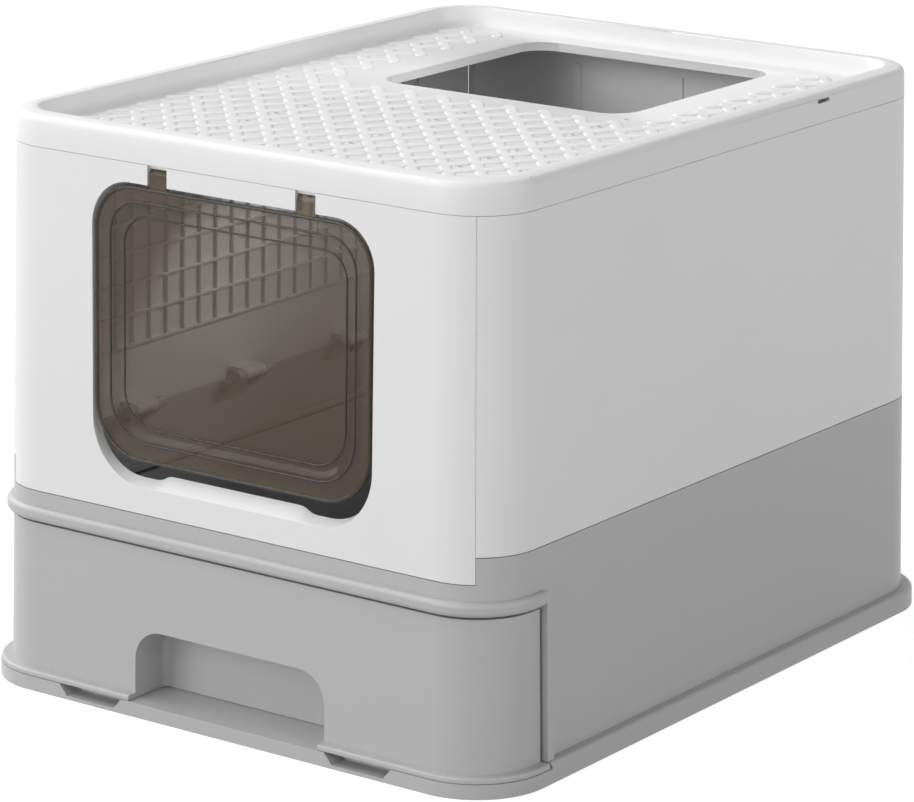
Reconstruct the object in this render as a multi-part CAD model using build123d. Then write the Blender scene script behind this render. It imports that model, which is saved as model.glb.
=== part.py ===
from build123d import *
import os
from math import cos, radians, sin, tan

os.makedirs("parts", exist_ok=True)

# Body at ground level; every outer wall leans inward by the draft
body_width = 394.0
body_depth = 499.4
corner_radius = 41.0
draft_angle = 1.08
total_height = 365.0

# Levels where the mouldings meet
floor_top = 9.2
foot_height = 12.8
ledge_bottom = 108.9
front_top = 127.6
side_top = 144.0
lid_height = 19.6
lid_bottom = total_height - lid_height

# Plastic thicknesses
panel_wall = 2.8
base_wall = 3.2
tray_wall = 2.5
lid_wall = 2.4
pan_wall = 2.2
drawer_wall = 2.6

# Working gaps
seam_gap = 0.12
fold_gap = 0.6
reveal = 0.3
slip_gap = 0.4
slide_gap = 0.4
bed_gap = 0.15

# Foot of the base
foot_proud = 7.5
foot_wall = 4.0
foot_round = 3.0
foot_rib = 2.0
foot_rib_rise = 1.0
foot_ribs_long = 5
foot_ribs_across = 6
notch_inner = 79.0
notch_outer = 129.0
notch_slant = 6.0
notch_floor = 2.4
notch_deep = 13.0

# Ledge and upright frame round the drawer
bead_proud = 4.2
bead_height = 9.0
bead_round = 3.2
frame_setback = 51.3
frame_front = body_depth / 2 - frame_setback
frame_width = 6.2
frame_turn = 5.5
ledge_flange = 12.0
rail_low = 103.0
rail_height = 3.0
rail_reach = 9.0

# Corner seams between the folding panels, as an angle round the corner from the front
seam_turn = radians(35.0)

# Hinges at the foot of each panel
knuckle_radius = 3.6
pin_radius = 1.5
pin_play = 0.05
knuckle_width = 20.0
ear_width = 8.0
hinge_gap = 0.4
front_axis_inset = 7.2
side_axis_inset = 15.4
front_ear_drop = 12.0
side_ear_drop = 16.0
front_hinge_offset = 100.0
side_hinge_offset = 112.0
front_hinges = (-front_hinge_offset, front_hinge_offset)
side_hinges = (-side_hinge_offset, 0.0, side_hinge_offset)

# Upper edge of the panels, inside the lid's skirt
skirt_wall = 2.2
tongue_wall = 2.4
tongue_grip = 9.3
tongue_lead = 1.2
side_tongue_drop = 0.8
deck_drop = 13.0
deck_top = total_height - deck_drop
deck_under = deck_top - lid_wall
tongue_out = skirt_wall + slip_gap
tongue_in = tongue_out + tongue_wall
tongue_root = lid_bottom - tongue_grip
tongue_top = deck_under

# Waffle of ribs inside the side panels, broad shallow ribs inside the back panel
waffle_foot = 44.0
waffle_head = 13.3
waffle_end = 54.0
waffle_low = side_top + waffle_foot
waffle_high = lid_bottom - waffle_head
waffle_half = body_depth / 2 - waffle_end
waffle_rows = 8
waffle_columns = 24
rib_depth = 2.4
rib_width = 1.6
back_ribs = 3
back_rib_pitch = 83.5
back_rib_width = 5.6
back_rib_depth = 1.2
back_rib_foot = 43.0
back_rib_low = front_top + back_rib_foot

# Entry opening in the front panel
entry_half = 106.4
entry_head = 13.0
entry_rise = 22.4
entry_top = lid_bottom - entry_head
entry_sill = front_top + entry_rise
entry_round = 29.0
sill_round = 34.0
sill_rise = 4.2
sill_flat = 48.0
sill_turn = 62.0
bevel_drop = 5.6
bevel_side = 0.6
bevel_round = 40.0
lip_depth = 7.0
lip_wall = 2.6

# Entry flap with its arms
flap_side_gap = 1.4
flap_head_gap = 1.6
flap_sill_gap = 10.6
flap_half = entry_half - flap_side_gap
flap_top = entry_top - flap_head_gap
flap_bottom = entry_sill + flap_sill_gap
flap_round = entry_round - flap_side_gap
flap_low_round = sill_round - flap_side_gap / 2
flap_face = 0.9
flap_wall = 2.1
flap_rim = 12.0
flap_lift = 4.0
flap_step = 2.9
flap_slant = 3.0
arm_centre = 56.0
arm_half = 6.7
arm_thick = 3.6
arm_side_gap = 0.8
slot_half = arm_half + arm_side_gap
pivot_drop = 5.8
pivot_height = lid_bottom - pivot_drop
pivot_inset = 4.0
pivot_radius = 1.7
pivot_play = 0.06
pivot_reach = 4.0
arm_round = 2.9
arm_clear = 0.7
boss_side = 6.0
boss_half = slot_half + boss_side
boss_extra = 0.8

# Lid
rim_step = 0.9
rim_shoulder = 2.6
rim_round = 1.8
rim_width = 14.0
rim_edge = 1.6
rim_crown = 3.5
deck_inset = 16.0
deck_round = 8.0
gusset_wall = 1.6
gussets_across = 4
gussets_along = 5
exit_half = 97.0
exit_length = 183.5
exit_behind = 18.5
exit_round = 20.0
exit_collar = 6.4
exit_edge = 0.6
hang_y = 112.8
hang_long = 14.5
hang_drop = 4.2
hang_tall = 3.6
hang_height = total_height - hang_drop
hang_deep = 6.0

# Drawer
drawer_gap = 1.8
drawer_end_gap = 1.8
drawer_top = ledge_bottom - drawer_gap
pan_clear = 2.5
pan_head = 3.0
pan_top = rail_low - pan_head
pan_round = 30.0
pan_floor = 2.2
pan_slant = 2.0
lip_shy = 0.5
lip_proud = foot_proud - lip_shy
lip_round = 1.5
pull_half = 73.5
pull_top = 54.5
pull_round = 20.0
pull_reach = 29.0
pull_deep = body_depth / 2 - pull_reach
pull_corner = 4.0
pan_front = pan_wall + drawer_wall - pull_deep

far = 400.0
over = 2.0
draft = tan(radians(draft_angle))


def half_width(z):
    return body_width / 2 - z * draft


def half_depth(z):
    return body_depth / 2 - z * draft


def outline(z, inset=0.0):
    width = 2 * (half_width(z) - inset)
    depth = 2 * (half_depth(z) - inset)
    return Pos(0, 0, z) * RectangleRounded(width, depth, corner_radius - inset)


def block(low, high, inset=0.0, inset_high=None):
    upper = inset if inset_high is None else inset_high
    return loft([outline(low, inset), outline(high, upper)], ruled=True)


def shell(low, high, outer, inner):
    return block(low, high, outer) - block(low, high, inner)


def span(x0, x1, y0, y1, z0, z1):
    middle = Pos((x0 + x1) / 2, (y0 + y1) / 2, (z0 + z1) / 2)
    return middle * Box(x1 - x0, y1 - y0, z1 - z0)


# Corner seams follow the leaning walls, so each panel folds past its neighbours
def seam_x(z):
    return half_width(z) - corner_radius * (1 - sin(seam_turn))


def seam_y(z):
    return half_depth(z) - corner_radius * (1 - cos(seam_turn))


def front_level(z):
    near = seam_y(z) + seam_gap / 2
    return Pos(0, -(near + far) / 2, z) * Rectangle(2 * seam_x(z) - seam_gap, far - near)


def side_level(z):
    near = seam_x(z) + seam_gap / 2
    return Pos((near + far) / 2, 0, z) * Rectangle(far - near, 2 * seam_y(z) - seam_gap)


def front_zone():
    return loft([front_level(0), front_level(far)], ruled=True)


def side_zone():
    return loft([side_level(0), side_level(far)], ruled=True)


# Hinge stations: x along the pin, y towards the middle of the box
front_axis = front_top + fold_gap + knuckle_radius
side_axis = side_top + fold_gap + knuckle_radius
hinge_half = knuckle_width / 2 + hinge_gap + ear_width


def front_place(along):
    return Pos(along, front_axis_inset - half_depth(front_axis), front_axis)


def back_place(along):
    return Rot(0, 0, 180) * front_place(along)


def right_place(along):
    return Rot(0, 0, 90) * Pos(along, side_axis_inset - half_width(side_axis), side_axis)


def left_place(along):
    return Rot(0, 0, -90) * Pos(along, side_axis_inset - half_width(side_axis), side_axis)


def rod(radius, length):
    return Rot(0, 90, 0) * Cylinder(radius, length)


def across(points, length):
    profile = make_face(Polyline(*points, close=True))
    return extrude(Plane.YZ * profile, length / 2, both=True)


def ear(axis_inset, drop):
    root = -(axis_inset - base_wall / 2)
    under = -(knuckle_radius + fold_gap + hinge_gap)
    leg = across(
        [
            (-knuckle_radius, 0),
            (knuckle_radius, 0),
            (knuckle_radius, -hinge_gap),
            (root, -drop),
            (root, under),
            (-knuckle_radius, under),
        ],
        ear_width,
    )
    body = leg + rod(knuckle_radius, ear_width)
    return body - rod(pin_radius, ear_width + over)


def knuckle(axis_inset):
    root = -(axis_inset - panel_wall / 2)
    web = across([(root, 0), (0, 0), (0, knuckle_radius), (root, knuckle_radius)], knuckle_width)
    body = web + rod(knuckle_radius, knuckle_width)
    return body - rod(pin_radius + pin_play, knuckle_width + over)


def ear_pair(place, axis_inset, drop):
    shift = knuckle_width / 2 + hinge_gap + ear_width / 2
    return [place * Pos(side * shift, 0, 0) * ear(axis_inset, drop) for side in (-1, 1)]


# Tilted plane of the front panel: x across, y up the face, z outward
face = Plane(
    origin=(0, -body_depth / 2, 0),
    x_dir=(1, 0, 0),
    z_dir=(0, -cos(radians(draft_angle)), sin(radians(draft_angle))),
)


def slab(sketch, near, deep):
    return extrude(face * Pos(0, 0, -deep) * sketch, deep - near)


def on_face(x, y, inset):
    return face.location * Pos(x, y, -inset)


# Rounded opening outline with a raised middle to the sill
def entry_outline(half, top, bottom, round_top, round_low, rise):
    middle = (sill_flat + sill_turn) / 2
    edges = []
    edges.append(Line((-sill_flat, bottom + rise), (sill_flat, bottom + rise)))
    edges.append(
        Bezier(
            (sill_flat, bottom + rise),
            (middle, bottom + rise),
            (middle, bottom),
            (sill_turn, bottom),
        )
    )
    edges.append(Line((sill_turn, bottom), (half - round_low, bottom)))
    edges.append(CenterArc((half - round_low, bottom + round_low), round_low, -90, 90))
    edges.append(Line((half, bottom + round_low), (half, top - round_top)))
    edges.append(CenterArc((half - round_top, top - round_top), round_top, 0, 90))
    edges.append(Line((half - round_top, top), (round_top - half, top)))
    edges.append(CenterArc((round_top - half, top - round_top), round_top, 90, 90))
    edges.append(Line((-half, top - round_top), (-half, bottom + round_low)))
    edges.append(CenterArc((round_low - half, bottom + round_low), round_low, 180, 90))
    edges.append(Line((round_low - half, bottom), (-sill_turn, bottom)))
    edges.append(
        Bezier(
            (-sill_turn, bottom),
            (-middle, bottom),
            (-middle, bottom + rise),
            (-sill_flat, bottom + rise),
        )
    )
    return make_face(edges)


def rounded_plate(half, top, bottom, round_top, round_low):
    edges = []
    edges.append(Line((round_low - half, bottom), (half - round_low, bottom)))
    edges.append(CenterArc((half - round_low, bottom + round_low), round_low, -90, 90))
    edges.append(Line((half, bottom + round_low), (half, top - round_top)))
    edges.append(CenterArc((half - round_top, top - round_top), round_top, 0, 90))
    edges.append(Line((half - round_top, top), (round_top - half, top)))
    edges.append(CenterArc((round_top - half, top - round_top), round_top, 90, 90))
    edges.append(Line((-half, top - round_top), (-half, bottom + round_low)))
    edges.append(CenterArc((round_low - half, bottom + round_low), round_low, 180, 90))
    return make_face(edges)


def bottom_tray():
    foot = block(0, foot_height, -foot_proud)
    foot = fillet(foot.edges().group_by(Axis.Z)[-1], foot_round)
    foot -= block(floor_top, foot_height + over, -bed_gap)
    foot -= span(-far, far, -far, -frame_front, floor_top, far)
    under = floor_top - tray_wall
    foot -= block(0, under, foot_wall - foot_proud)
    ribs = []
    pitch = body_width / (foot_ribs_long + 1)
    for i in range(foot_ribs_long):
        x = (i - (foot_ribs_long - 1) / 2) * pitch
        ribs.append(span(x - foot_rib / 2, x + foot_rib / 2, -far, far, foot_rib_rise, under))
    pitch = body_depth / (foot_ribs_across + 1)
    for i in range(foot_ribs_across):
        y = (i - (foot_ribs_across - 1) / 2) * pitch
        ribs.append(span(-far, far, y - foot_rib / 2, y + foot_rib / 2, foot_rib_rise, under))
    grid = (Part() + ribs) & block(0, floor_top, foot_wall / 2 - foot_proud)
    foot += grid
    front = -(half_depth(0) + foot_proud)
    back = front + notch_deep
    for side in (-1, 1):
        near, away = sorted((side * (notch_inner - tray_wall), side * (notch_outer + tray_wall)))
        foot += span(near, away, front + foot_wall / 2, back + tray_wall, foot_rib_rise, under)
        profile = make_face(
            Polyline(
                (side * notch_inner, floor_top + over),
                (side * notch_inner, floor_top),
                (side * (notch_inner + notch_slant), notch_floor),
                (side * (notch_outer - notch_slant), notch_floor),
                (side * notch_outer, floor_top),
                (side * notch_outer, floor_top + over),
                close=True,
            )
        )
        notch = extrude(Plane.XZ * profile, notch_deep + over)
        foot -= Pos(0, back, 0) * notch
    return foot


def base_frame():
    walls = shell(floor_top, front_top, 0, base_wall)
    cheek = shell(front_top, side_top, 0, base_wall) & side_zone()
    walls += [cheek, mirror(cheek, about=Plane.YZ)]
    bead_top = ledge_bottom + bead_height
    bead = block(ledge_bottom, bead_top, -bead_proud)
    loops = bead.edges().group_by(Axis.Z)
    bead = fillet(loops[0] + loops[-1], bead_round)
    bead -= block(ledge_bottom, bead_top, base_wall / 2)
    frame_back = frame_front - frame_width
    reach = span(-far, far, -far, -frame_back, 0, bead_top)
    turn = reach.edges().filter_by(Axis.X).sort_by(lambda edge: edge.center().Y + edge.center().Z)[-1]
    reach = fillet(turn, frame_turn)
    walls += bead & reach
    walls -= span(-far, far, -far, -frame_front, 0, ledge_bottom)
    post = shell(foot_height + bed_gap, bead_top - bead_height / 2, -bead_proud, base_wall / 2)
    walls += post & reach & span(-far, far, -frame_front, -frame_back, 0, far)
    flange = shell(ledge_bottom, ledge_bottom + pan_wall, base_wall / 2, ledge_flange)
    walls += flange & span(-far, far, -far, -frame_front, 0, far)
    rail = shell(rail_low, rail_low + rail_height, base_wall / 2, rail_reach)
    walls += rail & span(-far, far, -frame_back, half_depth(0) - corner_radius, 0, far)
    for along in front_hinges:
        walls += ear_pair(front_place(along), front_axis_inset, front_ear_drop)
        walls += ear_pair(back_place(along), front_axis_inset, front_ear_drop)
    for along in side_hinges:
        walls += ear_pair(right_place(along), side_axis_inset, side_ear_drop)
        walls += ear_pair(left_place(along), side_axis_inset, side_ear_drop)
    return walls


def panel(zone, bottom, top):
    skin_top = lid_bottom - reveal
    skin = shell(bottom + fold_gap, skin_top, 0, panel_wall)
    tongue = block(tongue_root, top - tongue_lead, tongue_out)
    tongue += block(top - tongue_lead, top, tongue_out, tongue_out + tongue_lead)
    tongue -= block(tongue_root, top, tongue_in)
    return (skin + tongue) & zone


def entry_cut():
    outer = entry_outline(
        entry_half + bevel_side,
        entry_top + bevel_side,
        entry_sill - bevel_drop,
        entry_round,
        bevel_round,
        0,
    )
    inner = entry_outline(entry_half, entry_top, entry_sill, entry_round, sill_round, sill_rise)
    near = face * Pos(0, 0, bevel_side) * outer
    deep = face * Pos(0, 0, -lip_depth - bevel_side) * inner
    return loft([near, deep], ruled=True)


def front_panel():
    body = panel(front_zone(), front_top, tongue_top)
    lip = rounded_plate(
        entry_half + lip_wall,
        entry_top + lip_wall,
        entry_sill - bevel_drop,
        entry_round + lip_wall,
        bevel_round,
    )
    body += slab(lip, panel_wall / 2, lip_depth)
    boss_top = lid_bottom - reveal
    for side in (-1, 1):
        boss = Pos(side * arm_centre, (entry_top + boss_top) / 2) * Rectangle(
            2 * boss_half, boss_top - entry_top
        )
        body += slab(boss, panel_wall / 2, lip_depth)
    body -= entry_cut()
    for side in (-1, 1):
        low = entry_top - over
        high = pivot_height + arm_round + arm_clear
        slot = Pos(side * arm_centre, (low + high) / 2) * Rectangle(2 * slot_half, high - low)
        body -= slab(slot, -over, lip_depth + over)
        mouth = Pos(side * arm_centre, (low + far) / 2) * Rectangle(2 * slot_half, far - low)
        body -= slab(mouth, -over, tongue_out)
        hole = rod(pivot_radius + pivot_play, 2 * (arm_half + pivot_reach + boss_extra))
        body -= on_face(side * arm_centre, pivot_height, pivot_inset) * hole
    for along in front_hinges:
        body += front_place(along) * knuckle(front_axis_inset)
    return body


def back_panel():
    plain = panel(front_zone(), front_top, tongue_top)
    middle = (back_rib_low + waffle_high) / 2
    for i in range(back_ribs):
        x = (i - (back_ribs - 1) / 2) * back_rib_pitch
        rib = Pos(x, middle) * Rectangle(back_rib_width, waffle_high - back_rib_low)
        plain += slab(rib, panel_wall / 2, panel_wall + back_rib_depth)
    for along in front_hinges:
        plain += front_place(along) * knuckle(front_axis_inset)
    return Rot(0, 0, 180) * plain


def side_panel():
    body = panel(side_zone(), side_top, tongue_top - side_tongue_drop)
    slices = []
    for i in range(waffle_rows):
        z = waffle_low + (waffle_high - waffle_low) * i / (waffle_rows - 1)
        slices.append(span(0, far, -waffle_half, waffle_half, z - rib_width / 2, z + rib_width / 2))
    for i in range(waffle_columns):
        y = waffle_half * (2 * i / (waffle_columns - 1) - 1)
        slices.append(span(0, far, y - rib_width / 2, y + rib_width / 2, waffle_low, waffle_high))
    band = shell(waffle_low - rib_width, waffle_high + rib_width, panel_wall / 2, panel_wall + rib_depth)
    body += (Part() + slices) & band
    for along in side_hinges:
        body += right_place(along) * knuckle(side_axis_inset)
    return body


def flap_door():
    rim = rounded_plate(flap_half, flap_top, flap_bottom, flap_round, flap_low_round)

    def pane(shrink):
        return rounded_plate(
            flap_half - shrink,
            flap_top - shrink + flap_lift,
            flap_bottom + shrink,
            flap_round - shrink / 2,
            flap_low_round - shrink / 2,
        )

    def dish(shrink, near, deep):
        wide = face * Pos(0, 0, -near) * pane(shrink)
        narrow = face * Pos(0, 0, -deep) * pane(shrink + flap_slant)
        return loft([wide, narrow], ruled=True)

    back = flap_face + flap_wall
    body = slab(rim, flap_face, back)
    body += dish(flap_rim, flap_face, back + flap_step)
    body -= dish(flap_rim + flap_wall, flap_face, flap_face + flap_step)
    for side in (-1, 1):
        low = flap_top - flap_rim
        arm = Pos(side * arm_centre, (low + pivot_height) / 2) * Rectangle(
            2 * arm_half, pivot_height - low
        )
        body += slab(arm, flap_face, flap_face + arm_thick)
        centre = on_face(side * arm_centre, pivot_height, pivot_inset)
        body += centre * rod(arm_round, 2 * arm_half)
        body += centre * rod(pivot_radius, 2 * (arm_half + pivot_reach))
    return body


# Thin webs inside the hollow rim, which stand on the panels' upper edges
def gussets(crown):
    webs = []
    half = gusset_wall / 2
    pitch = (body_width - 2 * corner_radius) / (gussets_across - 1)
    for i in range(gussets_across):
        x = (i - (gussets_across - 1) / 2) * pitch
        webs.append(span(x - half, x + half, -far, far, tongue_top, crown))
    pitch = (body_depth - 2 * corner_radius) / (gussets_along - 1)
    for i in range(gussets_along):
        y = (i - (gussets_along - 1) / 2) * pitch
        webs.append(span(-far, far, y - half, y + half, tongue_top, crown))
    return Part() + webs


def lid():
    shoulder = block(lid_bottom, total_height - rim_step)
    shoulder = fillet(shoulder.edges().group_by(Axis.Z)[-1], rim_round)
    body = shoulder + block(lid_bottom, total_height, rim_shoulder)
    well = block(deck_top, total_height, deck_inset, rim_width)
    body -= fillet(well.edges().group_by(Axis.Z)[0], deck_round)
    crest = body.faces().sort_by(Axis.Z)[-1]
    body = fillet(crest.inner_wires()[0].edges(), rim_edge)
    body -= block(lid_bottom, deck_under, skirt_wall)
    crown = total_height - rim_crown
    lean = (deck_inset - rim_width) / deck_drop
    hollow_foot = deck_inset - lid_wall
    hollow = block(deck_under, crown, skirt_wall)
    hollow -= block(deck_under, crown, hollow_foot, hollow_foot - lean * (crown - deck_under))
    body -= hollow - gussets(crown)
    middle = half_depth(deck_top) - deck_inset - exit_behind - exit_length / 2

    def ring(z, grow):
        width = 2 * (exit_half + grow)
        return Pos(0, middle, z) * RectangleRounded(width, exit_length + 2 * grow, exit_round + grow)

    body += extrude(ring(deck_top - exit_collar, lid_wall), exit_collar)
    body -= extrude(ring(0, 0), total_height)
    body -= loft([ring(deck_top - exit_edge, 0), ring(deck_top, exit_edge)], ruled=True)
    slot = Plane.YZ * Pos(hang_y, hang_height) * SlotOverall(hang_long, hang_tall)
    body -= Pos(half_width(hang_height) - hang_deep, 0, 0) * extrude(slot, hang_deep + over)
    return body


def drawer():
    low = floor_top + slide_gap
    front_only = span(-far, far, -far, -frame_front - drawer_end_gap, 0, far)
    front = block(low, drawer_top) & front_only
    inner = block(low, drawer_top - drawer_wall, drawer_wall)
    inner &= span(-far, far, -far, pan_front - pan_wall, 0, far)
    lip = block(low, foot_height, -lip_proud)
    lip = fillet(lip.edges().group_by(Axis.Z)[-1], lip_round)
    lip -= block(low, foot_height, drawer_wall / 2)
    lip &= front_only
    pull_depth = pull_deep - drawer_wall
    housing = span(
        -pull_half - drawer_wall, pull_half + drawer_wall, -far, -pull_depth, low, pull_top + drawer_wall
    )
    front -= inner - housing
    front += lip
    pan_half = half_width(pan_top) - base_wall - pan_clear
    drawer_back = half_depth(pan_top) - base_wall - 2 * pan_clear
    middle = (pan_front - pan_wall + drawer_back) / 2
    length = drawer_back - pan_front + pan_wall
    base = Pos(0, middle, low) * RectangleRounded(2 * (pan_half - pan_slant), length, pan_round)
    brim = Pos(0, middle, pan_top) * RectangleRounded(2 * pan_half, length, pan_round)
    well_low = Pos(0, middle, low + pan_floor) * RectangleRounded(
        2 * (pan_half - pan_slant - pan_wall), length - 2 * pan_wall, pan_round - pan_wall
    )
    well_high = Pos(0, middle, drawer_top) * RectangleRounded(
        2 * (pan_half - pan_wall), length - 2 * pan_wall, pan_round - pan_wall
    )
    body = front + loft([base, brim], ruled=True)
    body -= loft([well_low, well_high], ruled=True)
    pull = span(-pull_half, pull_half, -far, -pull_deep, low - over, pull_top)
    pull = fillet(pull.edges().filter_by(Axis.Y).group_by(Axis.Z)[-1], pull_round)
    pull = fillet(pull.edges().filter_by(Axis.Z).group_by(Axis.Y)[-1], pull_corner)
    return body - pull


def hinge_pin():
    return rod(pin_radius, 2 * hinge_half)


nodes = {
    "bottom_tray": bottom_tray(),
    "base_frame": base_frame(),
    "drawer": drawer(),
    "front_panel": front_panel(),
    "back_panel": back_panel(),
    "right_panel": side_panel(),
    "flap_door": flap_door(),
    "lid": lid(),
}
nodes["left_panel"] = mirror(nodes["right_panel"], about=Plane.YZ)
for i, along in enumerate(front_hinges):
    nodes[f"front_hinge_pin_{i + 1}"] = front_place(along) * hinge_pin()
    nodes[f"back_hinge_pin_{i + 1}"] = back_place(along) * hinge_pin()
for i, along in enumerate(side_hinges):
    nodes[f"left_hinge_pin_{i + 1}"] = left_place(along) * hinge_pin()
    nodes[f"right_hinge_pin_{i + 1}"] = right_place(along) * hinge_pin()

for name, solid in nodes.items():
    export_step(solid, f"parts/{name}.step")
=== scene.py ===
import math

import bpy
from mathutils import Matrix, Vector


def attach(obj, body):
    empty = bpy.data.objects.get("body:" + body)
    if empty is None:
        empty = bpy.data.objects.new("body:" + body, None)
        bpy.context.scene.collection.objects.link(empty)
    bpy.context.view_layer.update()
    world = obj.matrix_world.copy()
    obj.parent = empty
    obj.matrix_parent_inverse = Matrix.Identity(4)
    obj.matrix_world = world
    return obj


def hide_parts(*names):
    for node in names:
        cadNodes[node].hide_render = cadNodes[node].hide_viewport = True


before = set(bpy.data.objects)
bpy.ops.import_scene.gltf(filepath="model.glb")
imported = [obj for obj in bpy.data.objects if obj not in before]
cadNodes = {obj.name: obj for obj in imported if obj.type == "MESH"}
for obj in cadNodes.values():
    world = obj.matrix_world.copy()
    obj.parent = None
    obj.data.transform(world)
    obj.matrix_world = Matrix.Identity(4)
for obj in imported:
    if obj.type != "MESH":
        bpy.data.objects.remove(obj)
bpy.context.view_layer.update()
print("frame loaded with", len(cadNodes), "nodes")

# outer walls: their lean and their half sizes at the ground
walls = {"draft": math.radians(1.08), "halfWide": 0.197, "halfLong": 0.2497}


class Signal:
    # wraps one socket, so that shader maths reads as plain sums
    def __init__(self, nodes, socket):
        self.nodes = nodes
        self.socket = socket

    # another output of the same node
    def output(self, name):
        return Signal(self.nodes, self.socket.node.outputs[name])

    def maths(self, operation, *values):
        return self.nodes.add("ShaderNodeMath", {"operation": operation}, list(values))

    def larger(self, other):
        return self.maths("MAXIMUM", self, other)

    def __abs__(self):
        return self.maths("ABSOLUTE", self)

    def __add__(self, other):
        return self.maths("ADD", self, other)

    def __radd__(self, other):
        return self.maths("ADD", other, self)

    def __sub__(self, other):
        return self.maths("SUBTRACT", self, other)

    def __rsub__(self, other):
        return self.maths("SUBTRACT", other, self)

    def __mul__(self, other):
        return self.maths("MULTIPLY", self, other)

    def __rmul__(self, other):
        return self.maths("MULTIPLY", other, self)


class Nodes:
    # one node tree, with a single way to add nodes to it
    def __init__(self, tree):
        self.tree = tree

    def feed(self, socket, value):
        if isinstance(value, Signal):
            self.tree.links.new(value.socket, socket)
        else:
            socket.default_value = value

    def add(self, kind, settings=None, sockets=None, out=0):
        node = self.tree.nodes.new(kind)
        for key, value in (settings or {}).items():
            setattr(node, key, value)
        pairs = enumerate(sockets) if isinstance(sockets, list) else (sockets or {}).items()
        for key, value in pairs:
            self.feed(node.inputs[key], value)
        return Signal(self, node.outputs[out])

    def place(self):
        return self.add("ShaderNodeTexCoord", out="Object")

    def noise(self, place, scale, detail):
        sockets = {"Vector": place, "Scale": scale, "Detail": detail}
        return self.add("ShaderNodeTexNoise", None, sockets)

    def blend(self, factor, first, second):
        sockets = {0: factor, 6: first, 7: second}
        return self.add("ShaderNodeMix", {"data_type": "RGBA"}, sockets, 2)

    # colour that wanders between a darker and a lighter share of itself
    def mottle(self, noise, colour, darkest, lightest):
        return self.blend(noise, tint(colour, darkest), tint(colour, lightest))


class Finish(Nodes):
    # one material, set by the sockets of its shader
    def __init__(self, name):
        self.material = bpy.data.materials.new(name)
        self.material.use_nodes = True
        super().__init__(self.material.node_tree)
        self.shader = self.tree.nodes["Principled BSDF"]

    def set(self, values):
        for key, value in values.items():
            self.feed(self.shader.inputs[key], value)


def tint(colour, share):
    return tuple(min(1.0, part * share) for part in colour) + (1.0,)


def grey(level):
    return (level, level, level, 1.0)


# a level that wanders with a noise, which swings about one half
def wander(level, noise, width):
    return level + (noise - 0.5) * width


def paint(piece, *finishes):
    piece.data.materials.clear()
    for finish in finishes:
        piece.data.materials.append(finish.material)


def dress(finish, *names):
    for name in names:
        paint(cadNodes[name], finish)


def clearSelection():
    bpy.ops.object.select_all(action="DESELECT")


def pick(*pieces):
    clearSelection()
    for piece in pieces:
        piece.select_set(True)
    bpy.context.view_layer.objects.active = pieces[0]


def joinPieces(pieces):
    pick(*pieces)
    if len(pieces) > 1:
        bpy.ops.object.join()
    return bpy.context.view_layer.objects.active


# moulded plastic: fine spark-eroded grain and a faint drift in tone
plasticLook = {
    "grainScale": 1500.0,
    "grainDetail": 2.0,
    "grainHeight": 0.00002,
    "grainStrength": 0.35,
    "flowScale": 9.0,
    "flowDetail": 3.0,
    "toneDrift": 0.025,
    "roughDrift": 0.10,
    "ior": 1.49,
    "white": (0.83, 0.83, 0.83),
    "grey": (0.495, 0.495, 0.495),
    "satin": 0.42,
    "lidSatin": 0.45,
}


def mouldedPlastic(name, colour, roughness):
    finish = Finish(name)
    place = finish.place()
    grain = finish.noise(place, plasticLook["grainScale"], plasticLook["grainDetail"])
    flow = finish.noise(place, plasticLook["flowScale"], plasticLook["flowDetail"])
    drift = plasticLook["toneDrift"]
    bump = finish.add("ShaderNodeBump", None, {
        "Strength": plasticLook["grainStrength"],
        "Distance": plasticLook["grainHeight"],
        "Height": grain,
    })
    finish.set({
        "Base Color": finish.mottle(flow, colour, 1 - drift, 1 + drift),
        "Roughness": wander(roughness, flow, plasticLook["roughDrift"]),
        "Normal": bump,
        "IOR": plasticLook["ior"],
    })
    return finish


whitePanel = mouldedPlastic("whitePanel", plasticLook["white"], plasticLook["satin"])
whiteLid = mouldedPlastic("whiteLid", plasticLook["white"], plasticLook["lidSatin"])
greyBase = mouldedPlastic("greyBase", plasticLook["grey"], plasticLook["satin"])
greyDrawer = mouldedPlastic("greyDrawer", plasticLook["grey"], plasticLook["satin"])
dress(whitePanel, "front_panel", "back_panel", "left_panel", "right_panel")
dress(whiteLid, "lid")
dress(greyBase, "bottom_tray", "base_frame")
dress(greyDrawer, "drawer")
print("plastics ready")

# outline of the flap's pane
flapPane = {"half": 0.105, "top": 0.3308, "bottom": 0.1606}

# smoked clear flap, with painted shade making it denser towards its border, and faint wipe marks
# in its gloss
smokeLook = {
    "colour": (0.160, 0.105, 0.058),
    # near-black bead colour: painted shade lines along the border and steps
    "beadShadeColour": (0.030, 0.022, 0.013),
    "toneDrift": 0.1,
    "paneAlpha": 0.25,
    # higher alpha at the border is painted shade
    "borderShadeAlpha": 0.46,
    "beadShadeAlpha": 0.86,
    "borderShadeFade": 0.007,
    "roughness": 0.09,
    "wipeScale": 14.0,
    "wipeDetail": 4.0,
    "beadDetail": 2.0,
    "wipe": 0.08,
    "ior": 1.49,
}


def smokedClear(name, colour, density):
    finish = Finish(name)
    wipe = finish.noise(finish.place(), smokeLook["wipeScale"], smokeLook["wipeDetail"])
    drift = smokeLook["toneDrift"]
    finish.set({
        "Base Color": finish.mottle(wipe, colour, 1 - drift, 1 + drift),
        "Roughness": wander(smokeLook["roughness"], wipe, smokeLook["wipe"]),
        "Alpha": density(finish),
        "IOR": smokeLook["ior"],
    })
    return finish
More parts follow.
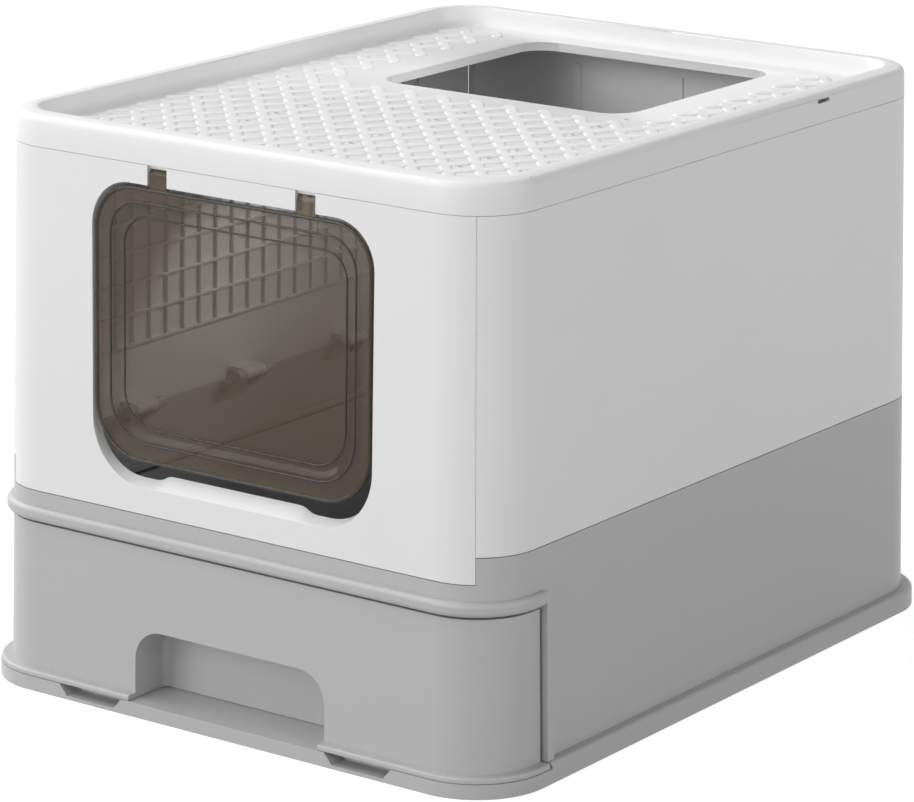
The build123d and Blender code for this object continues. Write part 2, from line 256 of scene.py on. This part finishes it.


# painted shade: the pane is made denser and darker within a few millimetres of its border
def borderShadeDensity(finish):
    across = finish.add("ShaderNodeSeparateXYZ", None, [finish.place()])
    height = across.output("Z") - (flapPane["top"] + flapPane["bottom"]) / 2
    sideways = abs(across) - flapPane["half"]
    upward = abs(height) - (flapPane["top"] - flapPane["bottom"]) / 2
    return finish.add("ShaderNodeMapRange", None, {
        "Value": sideways.larger(upward),
        "From Min": -smokeLook["borderShadeFade"],
        "From Max": 0.0,
        "To Min": smokeLook["paneAlpha"],
        "To Max": smokeLook["borderShadeAlpha"],
    })


# painted shade: the beads are nearly opaque so they read as dark lines
def beadShadeDensity(finish):
    cloud = finish.noise(finish.place(), smokeLook["wipeScale"], smokeLook["beadDetail"])
    return wander(smokeLook["beadShadeAlpha"], cloud, smokeLook["wipe"])


smokedFlap = smokedClear("smokedFlap", smokeLook["colour"], borderShadeDensity)
smokedBeadShade = smokedClear("smokedBeadShade", smokeLook["beadShadeColour"], beadShadeDensity)
dress(smokedFlap, "flap_door")

# drawn steel wire of the hinge pins
wireLook = {
    "colour": (0.52, 0.52, 0.53),
    "darkest": 0.85,
    "lightest": 1.1,
    "roughness": 0.32,
    "drawScale": 260.0,
    "drawDetail": 2.0,
    "draw": 0.18,
}


def drawnWire(name):
    finish = Finish(name)
    draw = finish.noise(finish.place(), wireLook["drawScale"], wireLook["drawDetail"])
    finish.set({
        "Base Color": finish.mottle(
            draw, wireLook["colour"], wireLook["darkest"], wireLook["lightest"]
        ),
        "Roughness": wander(wireLook["roughness"], draw, wireLook["draw"]),
        "Metallic": 1.0,
    })
    return finish


hingeSteel = drawnWire("hingeSteel")
dress(hingeSteel, *[name for name in cadNodes if "hinge_pin" in name])
print("flap and pins ready")

# lid shell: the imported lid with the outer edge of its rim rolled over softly
rimRoll = {
    "corner": 0.041,
    # packed edge: its foot on the wall, its radius, and the step behind it
    "wallFrom": 0.3560,
    "edgeFoot": 0.3623,
    "edgeRadius": 0.0018,
    "stepInset": 0.0027,
    "stepMiddle": 0.36446,
    # softer roll, with a slope in place of the upright step
    "rollFoot": 0.3596,
    "rollRadius": 0.0050,
    "stepSlope": 0.0010,
    # box around the hanging slot, which moves down as a whole
    "slotFrom": (0.1815, 0.1043, 0.3560),
    "slotTo": (0.2, 0.1213, 0.3623),
    "slotDrop": 0.0010,
    "slack": 0.00005,
    "weld": 0.00001,
    "smooth": 32.0,
}


# nearest point on the core of the rounded outline, and the way outward from it
def rimCore(point):
    inward = point.z * math.tan(walls["draft"])
    coreX = walls["halfWide"] - inward - rimRoll["corner"]
    coreY = walls["halfLong"] - inward - rimRoll["corner"]
    core = Vector((max(-coreX, min(coreX, point.x)), max(-coreY, min(coreY, point.y)), 0))
    return core, Vector((point.x, point.y, 0)) - core


# inset and height on the softer roll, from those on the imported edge
def rolledPlace(inset, height):
    wall, foot, radius = rimRoll["wallFrom"], rimRoll["edgeFoot"], rimRoll["edgeRadius"]
    newFoot, roll = rimRoll["rollFoot"], rimRoll["rollRadius"]
    if height <= foot:
        return inset, wall + (height - wall) / (foot - wall) * (newFoot - wall)
    if inset < radius - rimRoll["slack"]:
        turn = math.atan2(height - foot, radius - inset)
        return roll * (1 - math.cos(turn)), newFoot + roll * math.sin(turn)
    if height > rimRoll["stepMiddle"]:
        return inset + roll - radius + rimRoll["stepSlope"], height
    return inset + roll - radius, newFoot + roll


def rollPoint(point):
    low, high = rimRoll["slotFrom"], rimRoll["slotTo"]
    if all(low[axis] < point[axis] < high[axis] for axis in range(3)):
        return point - Vector((0, 0, rimRoll["slotDrop"]))
    core, outward = rimCore(point)
    inset = rimRoll["corner"] - outward.length
    slack = rimRoll["slack"]
    onWall = inset < slack and point.z > rimRoll["wallFrom"]
    onEdge = inset < rimRoll["stepInset"] and point.z > rimRoll["edgeFoot"] - slack
    if not (onWall or onEdge):
        return point
    newInset, newHeight = rolledPlace(max(inset, 0), point.z)
    reach = rimRoll["corner"] - newInset
    return core + outward.normalized() * reach + Vector((0, 0, newHeight))


def rolledLid():
    pick(cadNodes["lid"])
    bpy.ops.object.duplicate()
    shell = bpy.context.object
    shell.name = "lid_shell"
    bpy.ops.object.mode_set(mode="EDIT")
    bpy.ops.mesh.select_all(action="SELECT")
    bpy.ops.mesh.remove_doubles(threshold=rimRoll["weld"])
    bpy.ops.object.mode_set(mode="OBJECT")
    for vertex in shell.data.vertices:
        vertex.co = rollPoint(vertex.co.copy())
    bpy.ops.object.shade_smooth_by_angle(angle=math.radians(rimRoll["smooth"]))
    return shell


lidShell = rolledLid()
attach(lidShell, "lid")
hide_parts("lid")
print("lid shell ready")

# round beads on the flap: one along its border and two along the steps of its dish, nearly opaque
# and near-black as painted shade lines
flapBeads = {
    "roundTop": 0.0276,
    "roundLow": 0.0333,
    "cornerCuts": 12,
    "roundCuts": 2,
    "rings": (
        {"inset": 0.0011, "topInset": 0.0011, "depth": 0.0012, "radius": 0.0011},
        {"inset": 0.0118, "topInset": 0.0092, "depth": 0.0010, "radius": 0.0007},
        {"inset": 0.0205, "topInset": 0.0190, "depth": 0.0038, "radius": 0.0006},
    ),
}


# upright rounded outline of one bead, as edges only
def beadOutline(inset, topInset):
    wide = flapPane["half"] - inset
    top = flapPane["top"] - topInset
    bottom = flapPane["bottom"] + inset
    middle = Vector((0, 0, (top + bottom) / 2))
    origin = (0, 0, 0)
    clearSelection()
    bpy.ops.mesh.primitive_plane_add(size=2, location=origin)
    outline = bpy.context.object
    bpy.ops.object.mode_set(mode="EDIT")
    bpy.ops.mesh.select_all(action="SELECT")
    bpy.ops.transform.rotate(value=math.radians(90), orient_axis="X", center_override=origin)
    bpy.ops.transform.resize(value=(wide, 1, (top - bottom) / 2), center_override=origin)
    bpy.ops.transform.translate(value=middle)
    for upper, corner in ((True, flapBeads["roundTop"]), (False, flapBeads["roundLow"])):
        bpy.ops.mesh.select_mode(type="VERT")
        bpy.ops.mesh.select_all(action="DESELECT")
        bpy.ops.object.mode_set(mode="OBJECT")
        for point in outline.data.vertices:
            point.select = (point.co.z > middle.z) == upper
        bpy.ops.object.mode_set(mode="EDIT")
        # an inner ring turns its corners more tightly
        bpy.ops.mesh.bevel(
            offset=corner - inset / 2, affect="VERTICES", segments=flapBeads["cornerCuts"]
        )
    bpy.ops.mesh.select_all(action="SELECT")
    bpy.ops.mesh.delete(type="ONLY_FACE")
    bpy.ops.object.mode_set(mode="OBJECT")


# outline swept into a round bead and leant onto the flap's face
def beadRing(inset, topInset, depth, radius):
    beadOutline(inset, topInset)
    bpy.ops.object.convert(target="CURVE")
    curve = bpy.context.object.data
    curve.bevel_depth = radius
    curve.bevel_resolution = flapBeads["roundCuts"]
    bpy.ops.object.convert(target="MESH")
    ring = bpy.context.object
    lean = walls["draft"]
    ring.rotation_euler = (-lean, 0, 0)
    ring.location = (0, depth * math.cos(lean) - walls["halfLong"], -depth * math.sin(lean))
    bpy.ops.object.transform_apply(location=True, rotation=True, scale=True)
    bpy.ops.object.shade_smooth()
    paint(ring, smokedBeadShade)
    return ring


beads = joinPieces([beadRing(**ring) for ring in flapBeads["rings"]])
beads.name = "flap_beads"
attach(beads, "flap")
print("flap beads ready")

# woven deck of the lid: ribs on the slant with rungs across them, clear of the exit
weave = {
    "pitch": (0.01313, 0.01463),
    "origin": (0.0031, -0.0284),
    "deckTop": 0.352,
    "bars": (
        {"shift": (0.0, 0.0), "long": 0.0205, "wide": 0.0074, "tall": 0.00062, "slant": -1},
        {"shift": (-0.0066, -0.0073), "long": 0.0158, "wide": 0.0072, "tall": 0.00075, "slant": 1},
    ),
    "roundness": 0.62,
    "cuts": 2,
    # each field of bars: first column, first row, columns and rows, two pitches apart
    "blocks": {
        "lid_weave_front": ((-12, -12, 13, 8), (-11, -11, 12, 7)),
        "lid_weave_left": ((-12, 4, 2, 7), (-11, 3, 1, 7)),
        "lid_weave_right": ((10, 4, 2, 7), (11, 3, 1, 7)),
    },
}


def latticePoint(column, row, shift):
    across = weave["origin"][0] + column * weave["pitch"][0] + shift[0]
    along = weave["origin"][1] + row * weave["pitch"][1] + shift[1]
    return Vector((across, along, weave["deckTop"]))


# one rounded bar, sunk in the deck, turned along the lattice's slant
def weaveBar(column, row, shift, long, wide, tall, slant):
    centre = latticePoint(column, row, shift)
    turn = slant * math.atan2(weave["pitch"][1], weave["pitch"][0])
    clearSelection()
    bpy.ops.mesh.primitive_cube_add(size=1, location=centre)
    bpy.ops.object.mode_set(mode="EDIT")
    bpy.ops.mesh.select_all(action="SELECT")
    bpy.ops.mesh.subdivide(number_cuts=weave["cuts"])
    bpy.ops.transform.tosphere(value=weave["roundness"])
    bpy.ops.transform.resize(value=(long, wide, 2 * tall), center_override=centre)
    bpy.ops.transform.rotate(value=-turn, orient_axis="Z", center_override=centre)
    foot = centre - Vector((0, 0, tall / 2))
    bpy.ops.mesh.bisect(plane_co=foot, plane_no=(0, 0, 1), clear_inner=True, use_fill=True)
    bpy.ops.object.mode_set(mode="OBJECT")
    return bpy.context.object


# repeats a piece over every second column and row of the lattice
def spreadOnLattice(piece, columns, rows):
    pick(piece)
    stepX, stepY = weave["pitch"]
    spreads = (("columns", columns, (2 * stepX, 0, 0)), ("rows", rows, (0, 2 * stepY, 0)))
    for label, count, step in spreads:
        array = piece.modifiers.new(label, "ARRAY")
        array.use_relative_offset = False
        array.use_constant_offset = True
        array.constant_offset_displace = step
        array.count = count
        bpy.ops.object.modifier_apply(modifier=label)


def weaveField(firstColumn, firstRow, columns, rows):
    field = joinPieces([weaveBar(firstColumn, firstRow, **bar) for bar in weave["bars"]])
    spreadOnLattice(field, columns, rows)
    return field


def seatOnLid(name, fields):
    piece = joinPieces(fields)
    piece.name = name
    bpy.ops.object.transform_apply(location=True, rotation=True, scale=True)
    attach(piece, "lid")
    return piece


for name, fields in weave["blocks"].items():
    block = seatOnLid(name, [weaveField(*field) for field in fields])
    bpy.ops.object.shade_smooth()
    paint(block, whiteLid)
print("woven deck ready")

# drain eyelets in the pits of the weave, three rows from front to back
drains = {
    "radius": 0.0019,
    "tall": 0.0005,
    "lip": 0.0004,
    "sink": 0.00035,
    "sides": 20,
    "shift": (-0.0026, -0.0137),
    # dark floor colour: painted shade of the drain holes
    "holeShade": (0.09, 0.09, 0.09),
    "holeRough": 0.6,
    # each row: its column, its first row of the lattice and its count
    "rows": ((-6, -10, 7), (1, -9, 6), (8, -10, 8)),
}
drainShade = mouldedPlastic("drainShade", drains["holeShade"], drains["holeRough"])


# one eyelet with a lip and a sunken floor painted dark as the shade of a drain hole, repeated
# towards the back
def drainRow(column, firstRow, count):
    clearSelection()
    bpy.ops.mesh.primitive_cylinder_add(
        vertices=drains["sides"],
        radius=drains["radius"],
        depth=2 * drains["tall"],
        location=latticePoint(column, firstRow, drains["shift"]),
    )
    eyelet = bpy.context.object
    paint(eyelet, whiteLid, drainShade)
    top = max(eyelet.data.polygons, key=lambda face: face.center.z).index
    bpy.ops.object.mode_set(mode="EDIT")
    bpy.ops.mesh.select_all(action="DESELECT")
    bpy.ops.object.mode_set(mode="OBJECT")
    eyelet.data.polygons[top].select = True
    bpy.ops.object.mode_set(mode="EDIT")
    bpy.ops.mesh.select_mode(type="FACE")
    bpy.ops.mesh.inset(thickness=drains["lip"])
    bpy.ops.mesh.extrude_region_move(TRANSFORM_OT_translate={"value": (0, 0, -drains["sink"])})
    eyelet.active_material_index = 1
    bpy.ops.object.material_slot_assign()
    bpy.ops.object.mode_set(mode="OBJECT")
    spreadOnLattice(eyelet, 1, count)
    return eyelet


seatOnLid("lid_drain_eyelets", [drainRow(*row) for row in drains["rows"]])
print("drain eyelets ready")

# floor, light and camera
stage = {
    "floorSize": 14.0,
    "floorShade": 0.30,
    "floorGlow": 0.90,
    "floorBounce": 0.45,
    "floorRough": 0.9,
    "sky": 0.03,
    "boxes": {
        "key": {
            "at": (-0.42, -1.25, 1.25), "aim": (0.0, -0.15, 0.30),
            "size": 1.1, "power": 4.8, "spread": 180.0,
        },
        "inner": {
            "at": (0.25, 0.30, 0.62), "aim": (-0.178, -0.02, 0.24),
            "size": 0.06, "power": 0.016, "spread": 20.0,
        },
    },
    "suns": {
        "front": {"source": (-0.3, -1.0, 0.15), "strength": 1.78, "soft": 60.0},
        "side": {"source": (1.0, 0.0, 0.26), "strength": 1.48, "soft": 60.0},
        "left": {"source": (-0.8, 0.0, 0.7), "strength": 2.30, "soft": 60.0},
    },
    "sunsAway": 3.0,
}


# 1 for what the camera sees directly or in a gloss, 0 for light that bounces
def seenRays(nodes):
    camera = nodes.add("ShaderNodeLightPath", out="Is Camera Ray")
    return camera + camera.output("Is Glossy Ray") + camera.output("Is Transmission Ray")


def paleFloor():
    clearSelection()
    bpy.ops.mesh.primitive_plane_add(size=stage["floorSize"], location=(0, 0, 0))
    floor = bpy.context.object
    floor.name = "floor"
    finish = Finish("paleFloor")
    seen = seenRays(finish)
    finish.set({
        "Base Color": finish.blend(seen, grey(stage["floorBounce"]), grey(stage["floorShade"])),
        "Roughness": stage["floorRough"],
        "Specular IOR Level": 0.0,
        "Emission Color": finish.blend(seen, grey(0.0), grey(stage["floorGlow"])),
        "Emission Strength": 1.0,
    })
    paint(floor, finish)


# white where it is seen, and only a weak fill where it lights the box
def sky():
    world = bpy.data.worlds.new("studio")
    bpy.context.scene.world = world
    world.use_nodes = True
    studio = Nodes(world.node_tree)
    background = studio.tree.nodes["Background"].inputs
    strength = studio.add("ShaderNodeMapRange", None, {
        "Value": seenRays(studio),
        "To Min": stage["sky"],
        "To Max": 1.0,
    })
    studio.feed(background["Color"], grey(1.0))
    studio.feed(background["Strength"], strength)


def addLamp(name, kind, at, source):
    clearSelection()
    bpy.ops.object.light_add(type=kind, location=at)
    lamp = bpy.context.object
    lamp.name = name
    lamp.rotation_euler = source.to_track_quat("Z", "Y").to_euler()
    return lamp.data


def sun(name, source, strength, soft):
    light = addLamp(name, "SUN", Vector(source) * stage["sunsAway"], Vector(source))
    light.energy = strength
    light.angle = math.radians(soft)


def softbox(name, at, aim, size, power, spread):
    light = addLamp(name, "AREA", at, Vector(at) - Vector(aim))
    light.shape = "DISK"
    light.size = size
    light.energy = power
    light.spread = math.radians(spread)


paleFloor()
sky()
for name, lamp in stage["boxes"].items():
    softbox(name, **lamp)
for name, lamp in stage["suns"].items():
    sun(name, **lamp)
print("floor and lamps ready")

# camera fitted to the photograph's edges
shot = {
    "azimuth": 35.919,
    "elevation": 15.285,
    "roll": 0.342,
    "target": (-0.005032, -0.007677, 0.157933),
    "distance": 2.728721,
    "lens": 167.095,
    "sensor": 36.0,
    "clipEnd": 50.0,
}


def setCamera():
    azimuth = math.radians(shot["azimuth"])
    elevation = math.radians(shot["elevation"])
    roll = math.radians(shot["roll"])
    back = Vector((
        math.sin(azimuth) * math.cos(elevation),
        -math.cos(azimuth) * math.cos(elevation),
        math.sin(elevation),
    ))
    right = Vector((math.cos(azimuth), math.sin(azimuth), 0))
    up = back.cross(right)
    turnedRight = right * math.cos(roll) + up * math.sin(roll)
    turnedUp = up * math.cos(roll) - right * math.sin(roll)
    eye = Vector(shot["target"]) + back * shot["distance"]
    turn = Matrix((turnedRight, turnedUp, back)).transposed().to_4x4()
    clearSelection()
    bpy.ops.object.camera_add()
    camera = bpy.context.object
    camera.matrix_world = Matrix.Translation(eye) @ turn
    camera.data.sensor_fit = "HORIZONTAL"
    camera.data.sensor_width = shot["sensor"]
    camera.data.lens = shot["lens"]
    camera.data.clip_end = shot["clipEnd"]
    bpy.context.scene.camera = camera


setCamera()
bpy.context.scene.view_settings.view_transform = "Standard"
